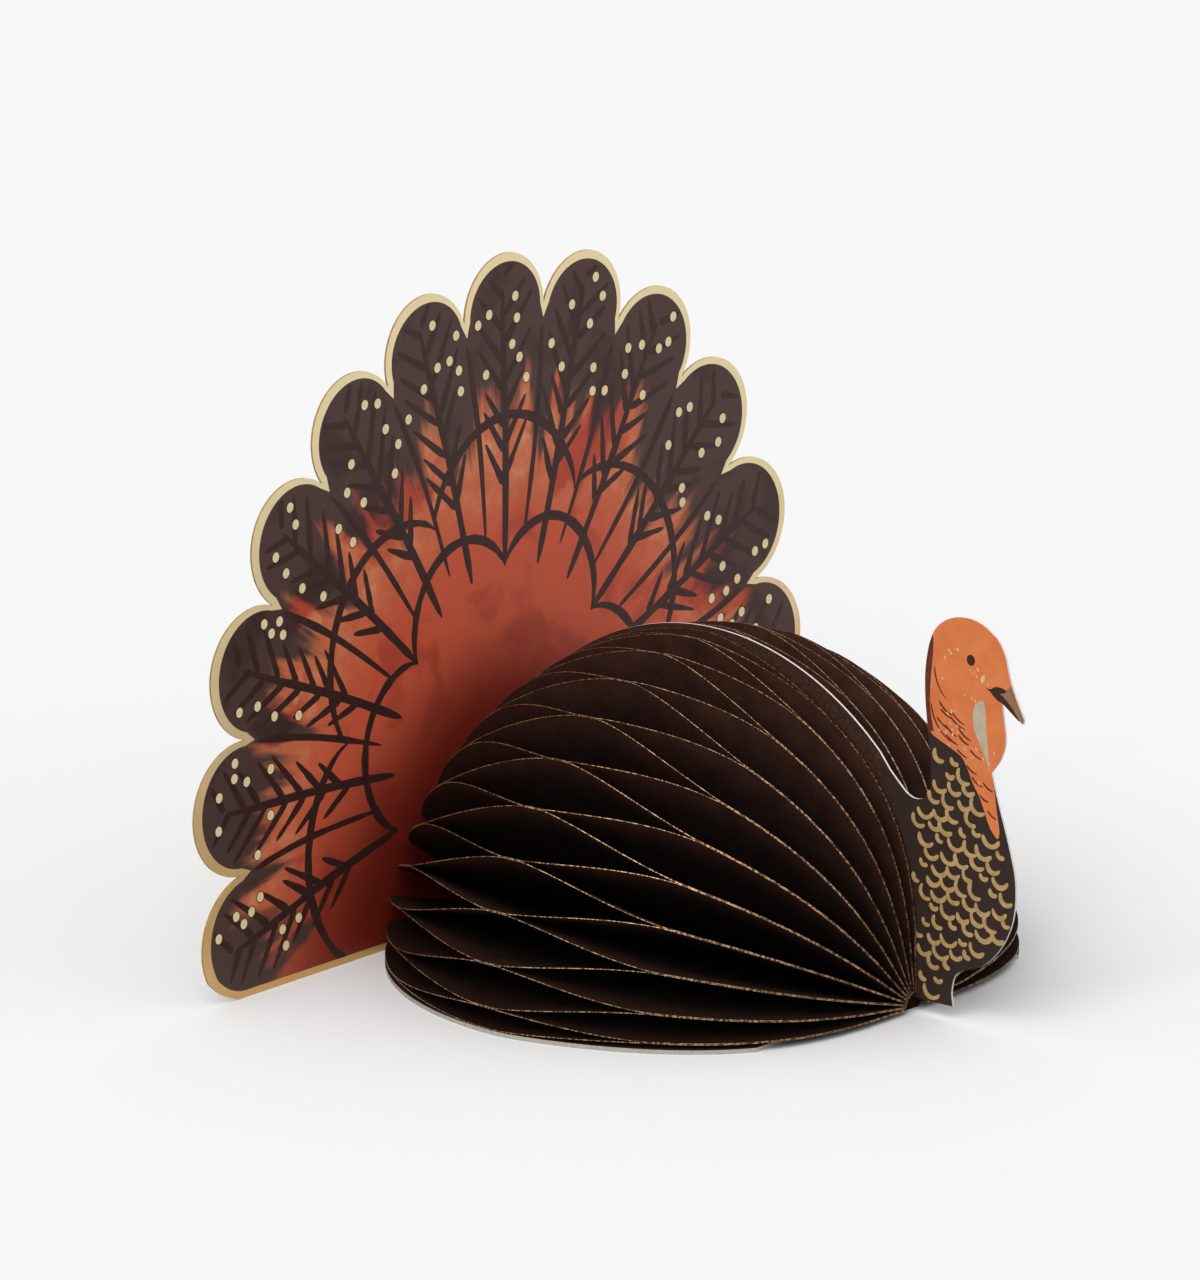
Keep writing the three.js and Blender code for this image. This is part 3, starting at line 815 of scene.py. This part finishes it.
def lay_scales(bm, sideways):
    for i, path in enumerate(BREAST_SCALES):
        lay_stroke(bm, path, SCALE_LINE, on_head(sideways, FIRST_LIFT + SCALE_STEP * (i % 12)), segments=12)


print_head("breast_scale_print", lay_scales, BREAST_INK)
print("breast scales", len(BREAST_SCALES))

# %% [markdown]
# ## The tail card
# Thirteen lobes stand on an ellipse of notches. The card itself is cut from the same points as the model,
# with more of them on each lobe, so that the curves look round, and its two foot corners are rounded off.

# %% Tail outline
LOBE_STEPS = 32
CORNER_REACH, CORNER_STEPS = 8, 10


def fan_point(reach, feather):
    """Place on the tail as (x, z): reach is a share of the notches' ellipse, feather counts lobes from the
    middle one."""
    angle = feather * LOBE_STEP
    return Vector((NOTCH_HALF_WIDTH * reach * math.sin(angle),
                   NOTCH_CENTRE_HEIGHT + NOTCH_HALF_HEIGHT * reach * math.cos(angle)))


def between_notches(index):
    """The middle between a lobe's two notches, and the way from there to the second."""
    start, end = fan_point(1, index - 0.5), fan_point(1, index + 0.5)
    return (start + end) / 2, (end - start) / 2


def lobe(index):
    """Half an ellipse between two notches."""
    middle, along = between_notches(index)
    outward = Vector((-along.y, along.x))
    turns = [math.pi * i / LOBE_STEPS for i in range(LOBE_STEPS)]
    return [middle - along * math.cos(turn) + outward * math.sin(turn) * LOBE_DEPTH_SHARE for turn in turns]


def stand_on_ground(points, ground):
    """Keeps what is above the ground and ends it there at both sides."""
    kept = [i for i, point in enumerate(points) if point.y > ground]
    first, last = kept[0], kept[-1]
    ends = []
    for here, beyond in ((first, first - 1), (last, (last + 1) % len(points))):
        above, below = points[here], points[beyond]
        ends.append(above.lerp(below, (above.y - ground) / (above.y - below.y)))
    return [ends[0], *points[first:last + 1], ends[1]]


def round_foot(points, reach):
    """Rounds the two corners at the foot. Each curve begins and ends about reach from its corner."""
    first, last = points[0], points[-1]
    kept = [point for point in points if min((point - first).length, (point - last).length) > reach]
    curves = []
    for corner, beside in ((first, kept[0]), (last, kept[-1])):
        inward = corner - Vector((math.copysign(reach, corner.x), 0))
        curves.append([inward.lerp(corner, share).lerp(corner.lerp(beside, share), share)
                       for share in (i / CORNER_STEPS for i in range(CORNER_STEPS))])
    return [*curves[0], *kept, *curves[1][::-1]]


def slot_cut(top):
    """The lap slot's corners, from the ground up to a height and down again."""
    x = CARD_THICKNESS / 2 + LAP_GAP
    return [Vector(corner) for corner in ((x, 0), (x, top), (-x, top), (-x, 0))]


HALF_COUNT = LOBE_COUNT // 2
LOBES = [point for index in range(-HALF_COUNT, HALF_COUNT + 1) for point in lobe(index)]
LOBES.append(fan_point(1, HALF_COUNT + 0.5))
TAIL_EDGE = round_foot(stand_on_ground(LOBES, 0), CORNER_REACH)
print("tail outline points", len(TAIL_EDGE))

# %% Tail card
TAIL_MIDDLE_Y = TAIL_FRONT_Y + TAIL_THICKNESS / 2
bm = bmesh.new()
lay_patch(bm, TAIL_EDGE + slot_cut(LAP_HEIGHT), lambda point: Vector((point.x, TAIL_MIDDLE_Y, point.y)) * MM)
bm.normal_update()
if next(iter(bm.faces)).normal.y > 0:
    bmesh.ops.reverse_faces(bm, faces=bm.faces[:])
tail = finish_piece(bm, "printed_tail_card", [TAIL_PRINT, GOLD_RIM, CARD_BACK], "tail",
                    ["tail_fan"], TAIL_THICKNESS, rim=1, offset_slot=2)
print("tail card", [round(side / MM, 1) for side in tail.dimensions], "mm")

# %% [markdown]
# ### Foil border
# The gold foil runs along the scalloped edge and the foot. It is a stamped film, far thinner than the card.
# Inside it each painted feather ends in a slightly smaller half ellipse, and the painted feathers meet at a
# point deeper than the cut notch, so the gold is widest there. Print and cut never meet exactly: here the
# print sits half a millimetre aside and up, and the border is narrower there.

# %% Foil border
BORDER_SIDE, BORDER_TIP = 1.8, 2.75
PRINT_SHIFT = Vector((0.4, 0.3))
BORDER_FOOT = 2
BORDER_NOTCH_REACH = 0.965


def on_tail(lift):
    y = TAIL_FRONT_Y - lift
    return lambda point: Vector((point.x, y, point.y)) * MM


def painted_lobe(index):
    """The painted feather's end, with the notch point before it."""
    middle, along = between_notches(index)
    outward = Vector((-along.y, along.x)).normalized()
    side = along.normalized() * (along.length - BORDER_SIDE)
    depth = along.length * LOBE_DEPTH_SHARE - BORDER_TIP
    turns = [math.pi * i / LOBE_STEPS for i in range(LOBE_STEPS + 1)]
    return [fan_point(BORDER_NOTCH_REACH, index - 0.5),
            *[middle - side * math.cos(turn) + outward * depth * math.sin(turn) for turn in turns]]


PAINTED = [point for index in range(-HALF_COUNT, HALF_COUNT + 1) for point in painted_lobe(index)]
PAINTED.append(fan_point(BORDER_NOTCH_REACH, HALF_COUNT + 0.5))
PAINTED_EDGE = round_foot(
    stand_on_ground([point + PRINT_SHIFT for point in PAINTED], BORDER_FOOT), CORNER_REACH - BORDER_FOOT)
cut = slot_cut(BORDER_FOOT)
bm = bmesh.new()
lay_patch(bm, TAIL_EDGE + cut[:2] + PAINTED_EDGE[::-1] + cut[2:], on_tail(FIRST_LIFT))
finish_piece(bm, "tail_foil_border", [FOIL], "tail", (), INK)
print("painted outline points", len(PAINTED_EDGE))

# %% [markdown]
# ### Feather lines
# Each lobe is the end of one feather: a shaft, and steep barbs on both sides of it that taper to their ends.
# Longer strokes part the feathers from each other, and two tiers of broad scallops lie over them nearer the
# body. All are brush strokes on the same fan grid, so a place is a reach and a feather number.

# %% Strokes of one feather
SHAFT_START, SHAFT_END = 0.42, 1.05
BARB_FIRST, BARB_PITCH, BARB_ROWS = 0.6, 0.072, 7
BARB_RISE, BARB_ASIDE = 0.12, 0.37
BARB_STAGGER, BARB_JITTER = 0.4, 0.012
BARB_SHORTEST, BARB_CUT, BARB_CLEAR = 0.3, 0.08, 1.06
PARTING_START, PARTING_REACH = 0.95, 0.47
SHAFT_LINE, BARB_LINE, PARTING_LINE = 2.7, 2.5, 2.3
PARTING_LIFT, SHAFT_LIFT, SCALLOP_LIFT = 0.012, 0.015, 0.018


def barb(start, feather, sign, length):
    """A path from the shaft outward and aside, bowed towards the tip."""
    def path(t):
        s = t * length
        return fan_point(start + BARB_RISE * s * (0.75 + 0.25 * s), feather + sign * BARB_ASIDE * s)
    return path


def lay_feather(bm, feather):
    """A shaft and its barbs, each cut short where it would leave the painted feather."""
    def shaft(t):
        return fan_point(SHAFT_START + (SHAFT_END - SHAFT_START) * t, feather + 0.02 * math.sin(5 * t))
    lay_stroke(bm, shaft, SHAFT_LINE, on_tail(SHAFT_LIFT), 16, taper=0.25)
    for row in range(BARB_ROWS):
        for sign in (-1, 1):
            start = BARB_FIRST + BARB_PITCH * (row + BARB_STAGGER * (sign > 0))
            start += random.uniform(-BARB_JITTER, BARB_JITTER)
            length = random.uniform(0.75, 1.1)
            while length > BARB_SHORTEST and not inside(
                    barb(start, feather, sign, length)(BARB_CLEAR), PAINTED_EDGE):
                length -= BARB_CUT
            lay_stroke(bm, barb(start, feather, sign, length), BARB_LINE, on_tail(LIFT_STEP * (row % 3)),
                       taper=0.45)


def lay_parting(bm, between):
    """The line between two feathers."""
    def path(t):
        return fan_point(PARTING_START - PARTING_REACH * t, between + 0.06 * math.sin(3 * t))
    lay_stroke(bm, path, PARTING_LINE, on_tail(PARTING_LIFT), 14, taper=0.4)


print("strokes on one feather", 1 + 2 * BARB_ROWS)

# %% Scallop tiers and the whole print
SCALLOP_SPAN, SCALLOP_POWER = 3, 0.7
SCALLOP_TIERS = ((0.61, 0.15, (-6, -3, 0, 3, 6)), (0.42, 0.12, (-4.5, -1.5, 1.5, 4.5)))
SCALLOP_LINE = 2.6


def lay_scallops(bm):
    for reach, rise, middles in SCALLOP_TIERS:
        for middle in middles:
            def path(t):
                along = min(max(t, 0), 1)
                bow = rise * math.sin(math.pi * along) ** SCALLOP_POWER
                return fan_point(reach + bow, middle + SCALLOP_SPAN * (t - 0.5))
            lay_stroke(bm, path, SCALLOP_LINE, on_tail(SCALLOP_LIFT), 24)


bm = bmesh.new()
for feather in range(-HALF_COUNT, HALF_COUNT + 1):
    lay_feather(bm, feather)
    lay_parting(bm, feather + 0.5)
lay_scallops(bm)
bmesh.ops.bisect_plane(bm, geom=bm.verts[:] + bm.edges[:] + bm.faces[:], plane_co=(0, 0, BORDER_FOOT * MM),
                       plane_no=(0, 0, 1), clear_inner=True)
lines = finish_piece(bm, "feather_line_print", [DARK_INK], "tail", (), INK)
print("faces of the lines", len(lines.data.polygons))

# %% [markdown]
# ### Dots
# Cream dots are sprinkled over the dark tips, mostly near their edges, each with a thin dark rim. A seeded
# random draw proposes places, and one is kept if it lies well inside the painted feather, off the shaft and
# apart from the others.

# %% Dots
DOT_WIDTH, DOT_LENGTH = 2.6, 2.8
DOT_RIM = 0.5
DOTS_PER_FEATHER = 8
DOT_APART = 3.9
DOT_TRIES = 160
DOT_ASIDE = (0.1, 0.44)
DOT_OUTERMOST, DOT_SPREAD = 1.1, 0.29
random.seed(12)


def feather_dots():
    """Middle and turn of each dot."""
    dots = []
    for feather in range(-HALF_COUNT, HALF_COUNT + 1):
        kept = []
        for _ in range(DOT_TRIES):
            aside = random.choice((-1, 1)) * random.uniform(*DOT_ASIDE)
            spot = fan_point(DOT_OUTERMOST - DOT_SPREAD * random.random() ** 1.3, feather + aside)
            roomy = inside(spot, PAINTED_EDGE) and spot.y > 2 * DOT_LENGTH
            alone = all((spot - other).length > DOT_APART for other in kept)
            if roomy and alone and all((spot - edge).length > DOT_LENGTH for edge in PAINTED_EDGE):
                kept.append(spot)
        dots += [(spot, random.uniform(-0.35, 0.15)) for spot in kept[:DOTS_PER_FEATHER]]
    return dots


DOTS = feather_dots()
for name, grow, lift, material in (
        ("dot_rim_print", DOT_RIM, 0.03, DARK_INK),
        ("dot_print", 0, 0.04, CREAM_INK)):
    bm = bmesh.new()
    for spot, turn in DOTS:
        lay_dot(bm, spot, DOT_WIDTH + grow, DOT_LENGTH + grow, turn, on_tail(lift))
    finish_piece(bm, name, [material], "tail", (), INK)
print("dots", len(DOTS))

# %% [markdown]
# ## Boards and spine
# These solids already have the right shape, so they keep it and only get their materials.

# %% Materials for the boards and the spine
for node, material in (("board_left", GREYBOARD), ("board_right", GREYBOARD), ("spine_bead", PAPER)):
    for slot in frame["nodes"][node].material_slots:
        slot.material = material

# %% [markdown]
# ## Stage, light and camera
# A pale floor and soft light, as in a plain product shot: a large softbox at the upper left, a wider one
# overhead and a weak glow all round. Together they put a light of about one on a level surface, so that
# colours render as they are written. What the camera and shiny surfaces see of the floor is nearly white.
# Other rays see a greyer floor, as a studio's table is small, so that little light comes up from below and
# the lower cells stay dark.

# %% Floor and world
FLOOR_SIZE = 12


def studio_rays(tree):
    """One where the camera, a reflection or a clear material looks, and else nought."""
    rays = add(tree, "LightPath").outputs
    seen = add(tree, "Math", {0: rays["Is Camera Ray"], 1: rays["Is Glossy Ray"]}, operation="MAXIMUM")
    return add(tree, "Math", {0: seen, 1: rays["Is Transmission Ray"]}, operation="MAXIMUM")


def floor_paint(tree):
    colour = add(tree, "Mix", {
        FACTOR: studio_rays(tree), MIX_A: "#bebebe", MIX_B: "#f8f8f8"}, data_type="RGBA")
    return add(tree, "BsdfPrincipled", {"Base Color": colour, "Roughness": 1, "Specular IOR Level": 0})


bm = bmesh.new()
bmesh.ops.create_grid(bm, x_segments=1, y_segments=1, size=FLOOR_SIZE / 2)
floor_mesh = bpy.data.meshes.new("floor")
bm.to_mesh(floor_mesh)
bm.free()
floor_mesh.materials.append(make_material("studio_floor", floor_paint))
floor = new_object("floor", floor_mesh)

world = bpy.data.worlds.new("studio")
bpy.context.scene.world = world
world.use_nodes = True
world.node_tree.nodes.clear()
sky = world.node_tree
glow = add(sky, "Background", {"Color": "#ffffff", "Strength": 0.28})
backdrop = add(sky, "Background", {"Color": "#f8f8f8", "Strength": 1})
which = add(sky, "MixShader", {0: studio_rays(sky), 1: glow, 2: backdrop})
add(sky, "OutputWorld", {"Surface": which})
print("floor", FLOOR_SIZE, "m square")

# %% [markdown]
# ### Softboxes
# A sun lamp with a wide angle lights everything from one side as a large softbox does, with shadows that
# fade with distance. Its strength over pi, times the cosine at which it meets the floor, is what it adds to
# a level surface.

# %% Softboxes
def aim(item, direction):
    """Turns a lamp or camera so that it looks in a direction."""
    item.rotation_mode = "QUATERNION"
    item.rotation_quaternion = direction.to_track_quat("-Z", "Y")


for name, strength, width, shines in (
        ("left_softbox", 1.45, 50, (0.88, 0.32, -0.85)),
        ("overhead_softbox", 1.32, 120, (0, 0.25, -1))):
    lamp = bpy.data.lights.new(name, "SUN")
    lamp.energy = strength
    lamp.angle = math.radians(width)
    aim(new_object(name, lamp), Vector(shines))
    print(name, "adds", round(-strength / math.pi * Vector(shines).normalized().z, 2))

# %% [markdown]
# ### Camera
# A long lens from about three and a half metres away, as a product photographer uses, so that near and far
# parts keep nearly the same scale. Its place and direction were fitted to points of the tail and the body.

# %% Camera
CAMERA_AZIMUTH = math.radians(-49.575)
CAMERA_ELEVATION = math.radians(15.704)
CAMERA_PLACE = (-2551.3, -2123.65, 1024.3)
CAMERA_LENS = 365.6
camera_data = bpy.data.cameras.new("camera")
camera_data.lens = CAMERA_LENS
camera_data.sensor_width = 36
camera_data.clip_end = 50
camera = new_object("camera", camera_data)
camera.location = Vector(CAMERA_PLACE) * MM
back = Vector((math.sin(CAMERA_AZIMUTH) * math.cos(CAMERA_ELEVATION),
               -math.cos(CAMERA_AZIMUTH) * math.cos(CAMERA_ELEVATION), math.sin(CAMERA_ELEVATION)))
aim(camera, -back)
bpy.context.scene.camera = camera
bpy.context.scene.view_settings.view_transform = "Standard"
print("camera at", [round(c, 2) for c in camera.location], "m")
